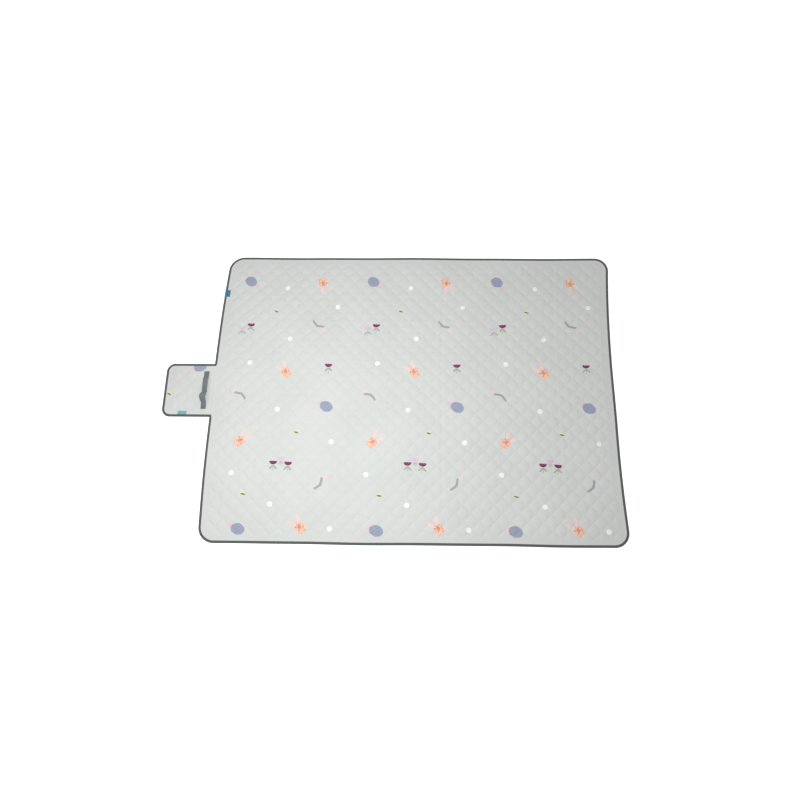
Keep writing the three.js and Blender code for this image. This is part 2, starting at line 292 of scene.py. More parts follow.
def trimmed_grid(xs, ys, outline, inset):
    """A grid of flat points cut to an outline = (x0, x1, half_y, radius), drawn in by inset.
    Returns the points and the faces, with unused points left out."""
    x0, x1, half_y, radius = outline
    x, y = [a.ravel() for a in np.meshgrid(xs, ys, indexing="ij")]
    faces = grid_faces(len(xs), len(ys))
    inside = rounded_inside(x, y, x0 + inset, x1 - inset, half_y - inset, radius - inset)
    faces = faces[(inside[faces] > -1e-6).any(axis=1)]
    x = np.clip(x, x0 + inset, x1 - inset)
    y = np.clip(y, -half_y + inset, half_y - inset)
    centre_x = np.clip(x, x0 + radius, x1 - radius)
    centre_y = np.clip(y, -half_y + radius, half_y - radius)
    away = np.hypot(x - centre_x, y - centre_y)
    pull = np.minimum(1, (radius - inset) / np.maximum(away, 1e-9))
    x = centre_x + (x - centre_x) * pull
    y = centre_y + (y - centre_y) * pull
    used, faces = np.unique(faces, return_inverse=True)
    return x[used], y[used], faces.reshape(-1, 4)


print("cell:", CELL / MM, "mm, quilted diamonds", QUILT / MM, "mm across")

# %% [markdown]
# ## A small language for shader patterns
# A printed shape or a weave is arithmetic on the cloth's own coordinates. Wiring each Math node
# by hand would bury the formula, so `Term` lets a node tree be written as plain arithmetic:
# every operation adds one Math node and gives back its output.

# %% Shader arithmetic
class Term:
    """A number in a node tree. Arithmetic on it adds Math nodes."""

    def __init__(self, tree, socket):
        self.tree = tree
        self.socket = socket

    def math(self, operation, *others):
        node = self.tree.nodes.new("ShaderNodeMath")
        node.operation = operation
        self.tree.links.new(self.socket, node.inputs[0])
        for i, other in enumerate(others):
            if isinstance(other, Term):
                self.tree.links.new(other.socket, node.inputs[i + 1])
            else:
                node.inputs[i + 1].default_value = other
        return Term(self.tree, node.outputs[0])

    def __add__(self, other):
        return self.math("ADD", other)

    def __sub__(self, other):
        return self.math("SUBTRACT", other)

    def __mul__(self, other):
        return self.math("MULTIPLY", other)

    def __truediv__(self, other):
        return self.math("DIVIDE", other)

    def __pow__(self, other):
        return self.math("POWER", other)

    def __abs__(self):
        return self.math("ABSOLUTE")

    def wave(self):
        """Distance from the nearest whole number, 0 on it and 0.5 half way."""
        return self.math("PINGPONG", 0.5)

    def step(self, start, end):
        """Rises smoothly from 0 at start to 1 at end, or falls if end is the lower."""
        node = self.tree.nodes.new("ShaderNodeMapRange")
        node.interpolation_type = "SMOOTHSTEP"
        self.tree.links.new(self.socket, node.inputs[0])
        low, high = (start, end) if start < end else (end, start)
        node.inputs[1].default_value = low
        node.inputs[2].default_value = high
        node.inputs[3].default_value = 0.0 if start < end else 1.0
        node.inputs[4].default_value = 1.0 if start < end else 0.0
        return Term(self.tree, node.outputs[0])


def split(tree, vector_socket):
    """The three numbers of a vector."""
    node = tree.nodes.new("ShaderNodeSeparateXYZ")
    tree.links.new(vector_socket, node.inputs[0])
    return [Term(tree, out) for out in node.outputs]


def feed(tree, value, socket):
    """Wires a Term or an output socket into an input, or sets a plain value on it."""
    if isinstance(value, Term):
        tree.links.new(value.socket, socket)
    elif isinstance(value, bpy.types.NodeSocket):
        tree.links.new(value, socket)
    else:
        socket.default_value = value


def srgb(red, green, blue):
    """A colour as seen on a screen, 0 to 255, as the linear colour that shaders use."""
    c = np.array([red, green, blue]) / 255
    linear = np.where(c <= 0.04045, c / 12.92, ((c + 0.055) / 1.055) ** 2.4)
    return (*linear.tolist(), 1.0)


def mix(tree, factor, first, second):
    """Colour between first and second."""
    node = tree.nodes.new("ShaderNodeMix")
    node.data_type = "RGBA"
    feed(tree, factor, node.inputs[0])
    feed(tree, first, node.inputs[6])
    feed(tree, second, node.inputs[7])
    return node.outputs[2]


def noise(tree, vector, scale, detail=3.0):
    node = tree.nodes.new("ShaderNodeTexNoise")
    node.inputs["Scale"].default_value = scale
    node.inputs["Detail"].default_value = detail
    tree.links.new(vector, node.inputs["Vector"])
    return Term(tree, node.outputs["Fac"])


def new_group(name, inputs, outputs):
    """A shader node group with named sockets, and its input and output nodes."""
    tree = bpy.data.node_groups.new(name, "ShaderNodeTree")
    for socket, kind, value in inputs:
        made = tree.interface.new_socket(socket, in_out="INPUT", socket_type=kind)
        if value is not None:
            made.default_value = value
    for socket, kind in outputs:
        tree.interface.new_socket(socket, in_out="OUTPUT", socket_type=kind)
    return tree, tree.nodes.new("NodeGroupInput"), tree.nodes.new("NodeGroupOutput")


def use_group(tree, group, **values):
    """Places a group in a tree, with its inputs set or wired by name."""
    node = tree.nodes.new("ShaderNodeGroup")
    node.node_tree = group
    for name, value in values.items():
        feed(tree, value, node.inputs[name.replace("_", " ").capitalize()])
    return node


def new_material(name, roughness, sheen=0.0):
    """A material with one Principled shader. Cloth gets a little sheen, set on the shader."""
    material = bpy.data.materials.new(name)
    material.use_nodes = True
    shader = material.node_tree.nodes["Principled BSDF"]
    shader.inputs["Roughness"].default_value = roughness
    shader.inputs["Sheen Weight"].default_value = sheen
    shader.inputs["Sheen Roughness"].default_value = 0.5
    shader.inputs["Specular IOR Level"].default_value = 0.25
    return material, material.node_tree, shader


def attribute(tree, name):
    """The vector that the mesh keeps under this name."""
    node = tree.nodes.new("ShaderNodeAttribute")
    node.attribute_name = name
    return node.outputs["Vector"]


def bump(tree, shader, height):
    """Bump of a height in metres: strength and distance are both 1, so it is to scale."""
    node = tree.nodes.new("ShaderNodeBump")
    node.inputs["Strength"].default_value = 1.0
    node.inputs["Distance"].default_value = 1.0
    feed(tree, height, node.inputs["Height"])
    tree.links.new(node.outputs["Normal"], shader.inputs["Normal"])


print("shader helpers ready")

# %% [markdown]
# ## Effects that several cloths share
# A plain weave is two sets of threads crossing, so its height is the product of two waves. It
# is far finer than any mesh, so here a bump does the job. Soil and handling leave faint uneven
# shading on every cloth, which a slow noise gives. Both are node groups, used with their own
# values in each material.

# %% Weave and wear groups
weave_group, at, out = new_group(
    "weave",
    [("Place", "NodeSocketVector", None), ("Pitch", "NodeSocketFloat", 0.0006)],
    [("Height", "NodeSocketFloat")],
)
u, v = split(weave_group, at.outputs["Place"])[:2]
pitch = Term(weave_group, at.outputs["Pitch"])
warp = (u / pitch).wave() * 2
weft = (v / pitch).wave() * 2
over = warp * (weft * -1 + 1) + weft * (warp * -1 + 1)
feed(weave_group, over, out.inputs["Height"])

wear_group, at, out = new_group(
    "wear",
    [("Place", "NodeSocketVector", None), ("Color", "NodeSocketColor", None),
     ("Amount", "NodeSocketFloat", 0.05)],
    [("Color", "NodeSocketColor"), ("Mask", "NodeSocketFloat")],
)
broad = noise(wear_group, at.outputs["Place"], 4.0, 4.0)
fine = noise(wear_group, at.outputs["Place"], 160.0, 2.0)
worn = broad.step(0.35, 0.75) * 0.7 + fine * 0.3
shade = worn * Term(wear_group, at.outputs["Amount"])
darker = wear_group.nodes.new("ShaderNodeMix")
darker.data_type = "RGBA"
darker.blend_type = "MULTIPLY"
darker.inputs[0].default_value = 1.0
grey = wear_group.nodes.new("ShaderNodeCombineColor")
for channel in grey.inputs:
    feed(wear_group, shade * -1 + 1, channel)
feed(wear_group, at.outputs["Color"], darker.inputs[6])
feed(wear_group, grey.outputs[0], darker.inputs[7])
feed(wear_group, darker.outputs[2], out.inputs["Color"])
feed(wear_group, worn, out.inputs["Mask"])


def weave_height(tree, place, pitch):
    return Term(tree, use_group(tree, weave_group, Place=place, Pitch=pitch).outputs["Height"])


def wear_in(tree, shader, place, color, amount):
    """Ages a colour and wires it to the shader. Gives the mask of where the cloth is worn."""
    aged = use_group(tree, wear_group, Place=place, Color=color, Amount=amount)
    feed(tree, aged.outputs["Color"], shader.inputs["Base Color"])
    return Term(tree, aged.outputs["Mask"])


print("groups:", [g.name for g in bpy.data.node_groups])

# %% [markdown]
# ## The print
# The cover is printed with a scatter of small shapes: hatched pebbles, spotted blossoms with
# two petals, tulips, wavy stalks, leaves and dots. Each shape is one node group that works
# out its colours from a place in metres, measured from the shape's own middle, so its edges
# stay sharp however close one looks. The mesh tells each face which shape is nearest and where
# the face lies in it.

# %% Printed shapes
def ellipse(p, q, half_p, half_q):
    """1 on the rim of an ellipse, less inside and more outside."""
    return ((p / half_p) ** 2 + (q / half_q) ** 2) ** 0.5


def shifted(p, q, across, along, angle=0.0):
    """Coordinates from another middle, turned by an angle in degrees."""
    c, s = np.cos(np.radians(angle)), np.sin(np.radians(angle))
    x, y = p - across, q - along
    return x * c + y * s, y * c - x * s


def blot(p, q, half_p, half_q, ragged=None):
    """Mask of an ellipse of ink, whose rim a noise may make ragged."""
    rim = ellipse(p, q, half_p, half_q)
    return (rim if ragged is None else rim + ragged).step(*INK_EDGE)


def larger(first, second):
    return first.math("MAXIMUM", second)


def shape_group(name, draw):
    """A group for one printed shape. draw gets the tree and the place, and gives back the
    layers of ink as (mask, colour), the lowest first."""
    tree, at, out = new_group(
        name,
        [("Place", "NodeSocketVector", None)],
        [("Color", "NodeSocketColor"), ("Mask", "NodeSocketFloat")],
    )
    p, q = split(tree, at.outputs["Place"])[:2]
    color = None
    mask = None
    for ink_mask, ink in draw(tree, at.outputs["Place"], p, q):
        color = ink if color is None else mix(tree, ink_mask, color, ink)
        mask = ink_mask if mask is None else larger(mask, ink_mask)
    feed(tree, color, out.inputs["Color"])
    feed(tree, mask, out.inputs["Mask"])
    return tree


PINK = srgb(232, 196, 203)
PALE_PINK = srgb(228, 210, 211)
INK_EDGE = (1.03, 0.97)  # an ellipse's mask falls from 1 to 0 between these, across its rim


def draw_pebble(tree, place, p, q):
    """A blunt hatched oval with a pale pink petal at one end."""
    ragged = noise(tree, place, 120.0, 1.0) * 0.2 + noise(tree, place, 420.0, 1.0) * 0.18 - 0.19
    body = blot(p, q, 0.0335, 0.0265, ragged)
    row = (q / 0.0062).wave()
    dash = ((p / 0.0074) + (q / 0.0062).math("FLOOR") * 0.5).wave()
    hatch = row.step(0.22, 0.12) * dash.step(0.34, 0.26)
    light = ((q + 0.0031) / 0.0124).wave().step(0.06, 0.02)
    a, b = shifted(p, q, 0.039, -0.005, 20)
    petal = blot(a, b, 0.017, 0.007)
    return [
        (petal, PINK),
        (body, srgb(164, 171, 192)),
        (body * light, srgb(186, 191, 207)),
        (body * hatch, srgb(92, 101, 132)),
    ]


def draw_blossom(tree, place, p, q):
    """A round flower with spots, and two long petals standing out of it."""
    ragged = noise(tree, place, 110.0, 1.0) * 0.3 - 0.15
    body = blot(p, q, 0.0275, 0.026, ragged)
    spots = tree.nodes.new("ShaderNodeTexVoronoi")
    spots.inputs["Scale"].default_value = 125.0
    spots.inputs["Randomness"].default_value = 0.75
    tree.links.new(place, spots.inputs["Vector"])
    near = Term(tree, spots.outputs["Distance"])
    petals = None
    for angle in (-24, 22):
        a, b = shifted(p, q, 0, 0, angle)
        one = blot(a - 0.045, b, 0.025, 0.0078)
        petals = one if petals is None else larger(petals, one)
    heart = blot(p - 0.008, q, 0.0105, 0.0085, ragged)
    return [
        (petals, srgb(242, 208, 202)),
        (body, srgb(238, 202, 184)),
        (body * near.step(0.46, 0.38), srgb(224, 148, 118)),
        (body * near.step(0.20, 0.14), srgb(178, 112, 86)),
        (heart, srgb(229, 146, 108)),
    ]


def tulip_parts(tree, p, q):
    """A cup with a notched rim, and two leaves and a stalk under it."""
    notch = (p / 0.0105).wave() * 0.005
    bowl = blot(p, q - 0.004, 0.0190, 0.0165)
    cup = bowl * (q + notch).step(0.0070, 0.0060)
    stalk = abs(p).step(0.0016, 0.0011) * q.step(-0.012, -0.014) * q.step(-0.044, -0.042)
    leaves = stalk
    for angle, across in ((46, -0.0095), (134, 0.0095)):
        a, b = shifted(p, q, across, -0.0255, angle)
        leaves = larger(leaves, blot(a, b, 0.0135, 0.0048))
    return cup, leaves


def draw_tulip(tree, place, p, q):
    cup, leaves = tulip_parts(tree, p, q)
    vein = (p / 0.0052).wave().step(0.09, 0.03) * q.step(-0.02, 0.004)
    return [
        (leaves, srgb(166, 181, 163)),
        (cup, srgb(132, 50, 98)),
        (cup * vein, srgb(156, 74, 120)),
    ]


def draw_pale_tulip(tree, place, p, q):
    cup, leaves = tulip_parts(tree, p, q)
    return [(leaves, srgb(178, 190, 176)), (cup, srgb(222, 190, 214))]


def draw_stalk(tree, place, p, q):
    """A band bent in the middle, along a hyperbola, with a pale pink bud at one end."""
    bend = (p * p + 0.005**2) ** 0.5 * 0.42 - 0.008
    line = abs(q - bend).step(0.0066, 0.0058) * abs(p).step(0.0345, 0.033)
    ribs = (p / 0.0058).wave().step(0.09, 0.03)
    a, b = shifted(p, q, 0.043, -0.006, 20)
    bud = blot(a, b, 0.0125, 0.0105)
    return [(bud, PALE_PINK), (line, srgb(167, 171, 173)), (line * ribs, srgb(142, 147, 152))]


def draw_leaf(tree, place, p, q):
    """A small olive leaf, pointed at both ends, and a paler one beside it."""
    half = (abs(p) / 0.0135) ** 2 * -0.0042 + 0.0042
    leaf = (half - abs(q)).step(-0.0002, 0.0003)
    a, b = shifted(p, q, -0.004, 0.0065, 32)
    second = blot(a, b, 0.0125, 0.0060)
    return [(second, srgb(222, 226, 170)), (leaf, srgb(124, 132, 72))]


def draw_dot(tree, place, p, q):
    return [(blot(p, q, 0.0122, 0.0122), srgb(243, 245, 242))]


SHAPES = ["pebble", "blossom", "tulip", "pale_tulip", "stalk", "leaf", "dot"]
DRAWINGS = [draw_pebble, draw_blossom, draw_tulip, draw_pale_tulip, draw_stalk, draw_leaf, draw_dot]
shape_groups = [shape_group("print_" + n, d) for n, d in zip(SHAPES, DRAWINGS)]
print("printed shapes:", SHAPES)

# %% [markdown]
# ## Where the shapes are printed
# The print repeats every 0.646 m along the mat. A short list gives each shape once: how far it
# lies from the mat's left end and from its far side, in millimetres, and the way it points.
# Each face of the cloth then takes the shape that is nearest to it.

# %% The print's layout
REPEAT = 646
PRINT = {
    "pebble": [(128, 144, -35), (576, 832, 155), (185, 1434, 165)],
    "blossom": [(506, 144, -62), (367, 654, 128), (160, 1014, 48), (479, 1428, 130)],
    "tulip": [(162, 392, 0), (577, 611, 0), (336, 1114, 0), (408, 1118, -4)],
    "pale_tulip": [(118, 411, 4), (372, 1095, 0)],
    "stalk": [(506, 391, -30), (146, 774, 149), (561, 1218, 57)],
    "leaf": [(284, 316, -18), (436, 966, -14), (201, 1271, -10)],
    "dot": [(327, 181, 0), (601, 290, 0), (370, 469, 0), (177, 603, 0), (334, 848, 0),
            (610, 1011, 0), (137, 1169, 0), (330, 1316, 0), (614, 1428, 0)],
}
FLAP_PRINT = {
    "pebble": [(-72, 626, 200)],
    "leaf": [(-213, 773, -25)],
}


def print_list():
    """Every printed shape as x, y, angle in radians and kind, one row each."""
    rows = []
    for kind, name in enumerate(SHAPES):
        for across, down, angle in PRINT[name]:
            for repeat in range(4):
                rows.append((across + repeat * REPEAT, down, angle, kind))
        rows += [(a, d, angle, kind) for a, d, angle in FLAP_PRINT.get(name, [])]
    made = np.array(rows, float)
    made[:, 0] = mat_left + made[:, 0] * MM
    made[:, 1] = mat_far - made[:, 1] * MM
    made[:, 2] = np.radians(made[:, 2])
    return made


printed = print_list()


def print_places(x, y, faces):
    """For each corner of each face, its place in the shape nearest to the face's middle, and
    the shape's kind. Turning by minus the shape's angle lines the place up with the shape."""
    mid = np.stack([x[faces].mean(axis=1), y[faces].mean(axis=1)], axis=1)
    on_flap = (mid[:, 0] < mat_left)[:, None] != (printed[:, 0] < mat_left)[None]
    gap = np.hypot(mid[:, :1] - printed[None, :, 0], mid[:, 1:] - printed[None, :, 1])
    own = printed[np.argmin(gap + on_flap * 10.0, axis=1)]
    dx = x[faces] - own[:, :1]
    dy = y[faces] - own[:, 1:2]
    c, s = np.cos(own[:, 2:3]), np.sin(own[:, 2:3])
    kind = np.broadcast_to(own[:, 3:4], dx.shape)
    return np.stack([dx * c + dy * s, dy * c - dx * s, kind], axis=2)


print(len(printed), "printed shapes")

# %% [markdown]
# ## The cover's finish
# The cover is a pale brushed polyester. Its material lays the print over the plain colour, then
# adds what the eye finds close up: a fine weave, short wrinkles that run into every quilting
# line, and the quilting thread itself, in stitches that dip into the cloth. The thread is drawn
# a little darker than the cloth, which paints the shade of those dips along with the thread.

# %% Printed cover material
ROOT_2 = 2**0.5
STITCH = 3.4 * MM       # one stitch and the gap after it
THREAD = 0.45 * MM


def quilting_thread(tree, u, v):
    """Mask of the thread, and the height of thread and wrinkles in metres. A quilting line is
    where a slanting coordinate is a whole number of diamonds, and runs along the other one."""
    thread = None
    height = None
    for across, along in ((u + v, u - v), (u - v, u + v)):
        from_line = (across / QUILT).wave() * (QUILT / ROOT_2)
        way = along / ROOT_2
        dash = (way / STITCH).wave().step(0.16, 0.10) * -1 + 1
        line = from_line.step(THREAD, THREAD * 0.5) * dash
        place = tree.nodes.new("ShaderNodeCombineXYZ")
        feed(tree, way, place.inputs[0])
        feed(tree, across * 0.12, place.inputs[1])
        wrinkle = noise(tree, place.outputs[0], 190.0, 1.0) * from_line.step(0.011, 0.001)
        lift = wrinkle * (1.0 * MM) + line * (0.12 * MM)
        thread = line if thread is None else larger(thread, line)
        height = lift if height is None else height + lift
    return thread, height


cover_finish, tree, shader = new_material("printed_cover", 0.88, sheen=0.18)
cloth_place = attribute(tree, "cloth")
print_place = attribute(tree, "print")
u, v = split(tree, cloth_place)[:2]
kind = split(tree, print_place)[2]
CLOTH_COLOR = srgb(210, 213, 210)
color = CLOTH_COLOR
for number, group in enumerate(shape_groups):
    drawn = use_group(tree, group, Place=print_place)
    here = abs(kind - number).step(0.5, 0.4) * Term(tree, drawn.outputs["Mask"])
    color = mix(tree, here, color, drawn.outputs["Color"])
thread, relief = quilting_thread(tree, u, v)
# Painted shade: the thread line is drawn a little darker than the cloth, for the thread and the shade
# where its stitches dip.
color = mix(tree, thread * 0.7, color, srgb(196, 201, 198))
wear_in(tree, shader, cloth_place, color, 0.055)
nap = noise(tree, cloth_place, 900.0, 2.0)
fine_height = weave_height(tree, cloth_place, 0.62 * MM) * (0.05 * MM) + nap * (0.10 * MM)
bump(tree, shader, fine_height + relief)
print("cover finish made of", len(tree.nodes), "nodes")

# %% [markdown]
# ## The other cloths
# Each of the remaining cloths is one short recipe over the same groups. The backing is a coated
# ripstop: a close weave with a thicker thread every few millimetres, under a slightly shiny
# film. The tape is a ribbed twill, and the webbing a heavy herringbone. The touch fastener has
# stiff hooks on one patch and a felt of loops on the other.

# %% Backing, wadding, tape and webbing materials
backing_finish, tree, shader = new_material("coated_backing", 0.46)
cloth_place = attribute(tree, "cloth")
u, v = split(tree, cloth_place)[:2]
rip = larger((u / 0.005).wave().step(0.10, 0.04), (v / 0.005).wave().step(0.10, 0.04))
thread, relief = quilting_thread(tree, u, v)
color = mix(tree, rip, srgb(132, 139, 141), srgb(142, 149, 151))
color = mix(tree, thread, color, srgb(170, 175, 176))
worn = wear_in(tree, shader, cloth_place, color, 0.10)
feed(tree, worn * 0.14 + 0.40, shader.inputs["Roughness"])
ripstop = weave_height(tree, cloth_place, 0.8 * MM) * (0.05 * MM) + rip * (0.08 * MM)
bump(tree, shader, ripstop + relief)

wadding_finish, tree, shader = new_material("wadding_fibre", 1.0, sheen=0.3)
cloth_place = attribute(tree, "cloth")
fibre = noise(tree, cloth_place, 420.0, 4.0)
feed(tree, mix(tree, fibre, srgb(228, 229, 224), srgb(247, 247, 244)), shader.inputs["Base Color"])
bump(tree, shader, fibre * (0.8 * MM))


def ribbed_cloth(name, dark, light, rib, rib_height, roughness):
    """A tape or strap whose place is (along, across, 0): slanting ribs that turn back at the
    middle, as in a herringbone, over a fine weave. The ribs' crests get the light colour and
    their grooves the dark one, as painted shade, and a fine noise varies the tone at random."""
    material, tree, shader = new_material(name, roughness, sheen=0.12)
    place = attribute(tree, "cloth")
    along, across = split(tree, place)[:2]
    ribs = ((along + abs(across)) / rib).wave() * 2
    fluff = noise(tree, place, 700.0, 3.0)
    # Painted shade: rib crests take the light colour and grooves the dark one, following the rib height;
    # the fluff adds random tone.
    rib_shade_and_fluff = (ribs.step(0.1, 0.8) * 0.6 + fluff * 0.5).math("MINIMUM", 1.0)
    wear_in(tree, shader, place, mix(tree, rib_shade_and_fluff, dark, light), 0.12)
    height = ribs * rib_height + weave_height(tree, place, rib * 0.4) * (rib_height * 0.4)
    bump(tree, shader, height + fluff * (0.05 * MM))
    return material


# Each cloth's dark and light colours are the painted shade and painted light of its ribs.
tape_finish = ribbed_cloth("edge_tape", srgb(74, 79, 78), srgb(100, 106, 104),
                           1.3 * MM, 0.10 * MM, 0.85)
webbing_finish = ribbed_cloth("webbing", srgb(90, 97, 99), srgb(130, 136, 138),
                              2.2 * MM, 0.22 * MM, 0.72)


def plain_cloth(name, dark, light, scale, height, roughness, sheen=0.0):
    """A small patch or label: a fine weave, with noise at its own scale for hooks or felt."""
    material, tree, shader = new_material(name, roughness, sheen=sheen)
    place = attribute(tree, "cloth")
    rough = noise(tree, place, scale, 2.0)
    wear_in(tree, shader, place, mix(tree, rough.step(0.3, 0.7), dark, light), 0.08)
    bump(tree, shader, rough * height + weave_height(tree, place, 0.9 * MM) * (0.06 * MM))
    return material


hook_finish = plain_cloth("hook_tape", srgb(88, 94, 92), srgb(126, 132, 130),
                          620.0, 0.7 * MM, 0.5)
loop_finish = plain_cloth("loop_tape", srgb(98, 104, 102), srgb(122, 128, 126),
                          380.0, 0.5 * MM, 0.95, 0.4)
side_label_finish = plain_cloth("side_label", srgb(42, 108, 146), srgb(66, 134, 168),
                                240.0, 0.06 * MM, 0.55)
flap_label_finish = plain_cloth("flap_label", srgb(98, 166, 178), srgb(132, 190, 198),
                                240.0, 0.06 * MM, 0.55)
dark_thread = plain_cloth("dark_thread", srgb(62, 67, 66), srgb(96, 101, 100),
                          900.0, 0.05 * MM, 0.6)
print("materials:", len(bpy.data.materials))

# %% [markdown]
# ## The cloth layers, row by row
# Every layer of the mat is cut in four along lines that lie inside a row, never on a fold, so
# that each piece crosses just one fold. Where two pieces meet, they share the same points and
# the same normals, so the join doesn't show. The grid is finer near the fold, because there
# the cloth has to turn right round in a few centimetres.

# %% The panels
LAYER_INSET = 1.5 * MM  # the layers' cut edge lies this far in, where the tape hides it
FOLD_REACH = {
    "far_outer": 11 * MM,
    "near_outer": 11 * MM,
    "far_inner": 18 * MM,
    "near_inner": 32 * MM,
}
mat_outline = (mat_left, mat_right, mat_far, MAT_CORNER)
flap_outline = (flap_end, mat_left + 1, flap_half, FLAP_CORNER)
mat_xs = (mat_left, mat_right)
panels = []
for side, sign in (("far", 1), ("near", -1)):
    for part, low, high in (("inner", 0.0, piece_edge), ("outer", piece_edge, mat_far)):
        name = f"{side}_{part}"
        fold = joint_at[f"{name}_fold"][1]
        reach = FOLD_REACH[name]
        panels.append({
            "name": name,
            "x": mat_xs,
            "y": (low, high) if sign > 0 else (-high, -low),
            "outline": mat_outline,
            "bodies": ("centre_row", f"{side}_inner_row") if part == "inner"
            else (f"{side}_inner_row", f"{side}_outer_row"),
            "start": (0, fold - sign * reach, 0),
            "end": (0, fold + sign * reach, 0),
            "nodes": [name, "centre"] if part == "inner" else [name],
        })
FLAP_FOLD_REACH = 4.5 * MM
panels.append({
    "name": "spine", "x": (spine_middle, mat_left), "y": (-flap_half, flap_half),
    "outline": flap_outline, "bodies": ("centre_row", "flap_spine"),
    "start": (mat_left, 0, 0), "end": (2 * spine_fold - mat_left, 0, 0), "nodes": ["spine"],
})
panels.append({
    "name": "flap", "x": (flap_end, spine_middle), "y": (-flap_half, flap_half),
    "outline": flap_outline, "bodies": ("flap_spine", "flap_panel"),
    "start": (flap_fold + FLAP_FOLD_REACH, 0, 0), "end": (flap_fold - FLAP_FOLD_REACH, 0, 0),
    "nodes": ["flap"],
})


def panel_grid(panel, spacing, inset, finer=3):
    """The flat grid of one panel, with finer lines where it folds."""
    fold = (np.array(panel["start"]) + np.array(panel["end"])) / 2
    reach = np.linalg.norm(np.array(panel["end"]) - np.array(panel["start"])) / 2
    folds_along_y = panel["start"][0] == 0
    xs = lines(*panel["x"], spacing, None if folds_along_y else fold[0], reach, finer)
    ys = lines(*panel["y"], spacing, fold[1] if folds_along_y else None, reach, finer)
    x, y, faces = trimmed_grid(xs, ys, panel["outline"], inset)
    # Beside the flap the mat's layers run out to the seam, and aren't drawn in.
    at_seam = (np.abs(x - mat_left - inset) < 1e-6) & (np.abs(y) < flap_half)
    return np.where(at_seam, mat_left, x), y, faces


def bend(piece, panel):
    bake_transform(piece)


def bake_map(piece, x, y):
    """Flat coordinates squeezed into a unit square, as a UV map with no overlaps."""
    loops = np.zeros(len(piece.data.loops), np.int32)
    piece.data.loops.foreach_get("vertex_index", loops)
    flat = np.stack([(x - x.min()) / np.ptp(x), (y - y.min()) / np.ptp(y)], axis=1)
    layer = piece.data.uv_layers.new(name="OFBake", do_init=False)
    layer.uv.foreach_set("vector", (0.002 + 0.996 * flat[loops]).astype(np.float32).ravel())


def flat_size(panel):
    return panel["x"][1] - panel["x"][0], panel["y"][1] - panel["y"][0]


def keep_place(piece, x, y):
    """Keeps where each point lay before the cloth settled, measured from the mat's left end."""
    store(piece, "cloth", np.stack([x - mat_left, y, 0 * x], axis=1))


def laid_cloth(name, panel, spacing, height, finish, way):
    """One sheet of a panel at a height over its flat grid, with way 1 if it faces up and -1 if
    it faces down. Gives the sheet, and its flat grid with the faces as they look from above."""
    x, y, faces = panel_grid(panel, spacing, LAYER_INSET)
    points = settle(np.stack([x, y, height(x, y)], axis=1))
    sheet = new_mesh(name, points, faces[:, ::way], finish)
    keep_place(sheet, x, y)
    bake_map(sheet, x, y)
    sheet.data.normals_split_custom_set_from_vertices(way * normals_of(height, x, y))
    return sheet, x, y, faces


print("panels:", [p["name"] for p in panels])

# %% [markdown]
# ## The covers
# The cover is the sheet that shows, so it has the finest grid, a cell of about 3 mm. Every point
# keeps its place on the flat cut, and every corner of a face its place in the nearest printed
# shape, so the print and the weave stay put on the cloth when it folds.

# %% Covers
for panel in panels:
    cover, x, y, faces = laid_cloth(f"cover_{panel['name']}_cloth", panel, CELL, cover_height,
                                    cover_finish, 1)
    store(cover, "print", print_places(x, y, faces), "CORNER")
    bend(cover, panel)
    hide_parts(*[f"cover_{n}" for n in panel["nodes"]])
    flat_size(panel)
    print(cover.name, len(faces) * 2, "triangles")

# %% [markdown]
# ## Backing and wadding
# The backing is a sheet like the cover, facing down, with much flatter puffs because the
# wadding rises towards the softer side. The wadding is a closed pad between the two. Its grid
# is four times coarser, so each of its points keeps under the lowest cover and over the highest
# backing within a cell around it, and it never pokes through. At a fold it has the same lines
# across as the backing, so that both turn through the same corners.

# %% Backings and waddings
PAD_CLEAR = 0.15 * MM    # the wadding stops this far short of the cover and the backing
PAD_END = 0.2 * MM       # and this far short of the next panel's wadding
STEPS = (-2, -1, 0, 1, 2)
around = [(i * 2 * CELL, j * 2 * CELL) for i in STEPS for j in STEPS]
for panel in panels:
    backing = laid_cloth(f"backing_{panel['name']}_cloth", panel, 2 * CELL, backing_height,
                         backing_finish, -1)[0]
    bend(backing, panel)
    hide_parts(*[f"backing_{n}" for n in panel["nodes"]])
    flat_size(panel)

    x, y, faces = panel_grid(panel, 4 * CELL, 2 * LAYER_INSET, finer=6)
    low = np.max([backing_height(x + i, y + j) for i, j in around], axis=0) + PAD_CLEAR
    high = np.min([cover_height(x + i, y + j) for i, j in around], axis=0) - PAD_CLEAR
    x = np.clip(x, panel["x"][0] + PAD_END, panel["x"][1] - PAD_END)
    y = np.clip(y, panel["y"][0] + PAD_END, panel["y"][1] - PAD_END)
    top = settle(np.stack([x, y, high], axis=1))
    bottom = settle(np.stack([x, y, low], axis=1))
    points, shell = closed_shell(top, bottom, faces)
    pad = new_mesh(f"wadding_{panel['name']}_pad", points, shell, wadding_finish)
    keep_place(pad, np.tile(x, 2), np.tile(y, 2))
    bend(pad, panel)
    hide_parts(*[f"wadding_{n}" for n in panel["nodes"]])
print("backings and waddings done")

# %% [markdown]
# ## The bound edge
# A strip of grey tape is folded round the edge of all three layers and sewn through. It is made
# as a real folded strip: its cross section is a thin hook shape, carried along a path round the
# mat or the flap. Its two legs follow the height of the cloth under them, so the tape dips and
# rises with the puffs.

# %% Paths and sweeps
def between(a, b, count):
    """Points at equal steps from a to b."""
    a, b = np.array(a, float), np.array(b, float)
    return a + (b - a) * np.linspace(0, 1, count)[:, None]


def run_along(places):
    """Length of a line of points up to each of them."""
    return np.concatenate([[0], np.cumsum(np.linalg.norm(np.diff(places, axis=0), axis=1))])


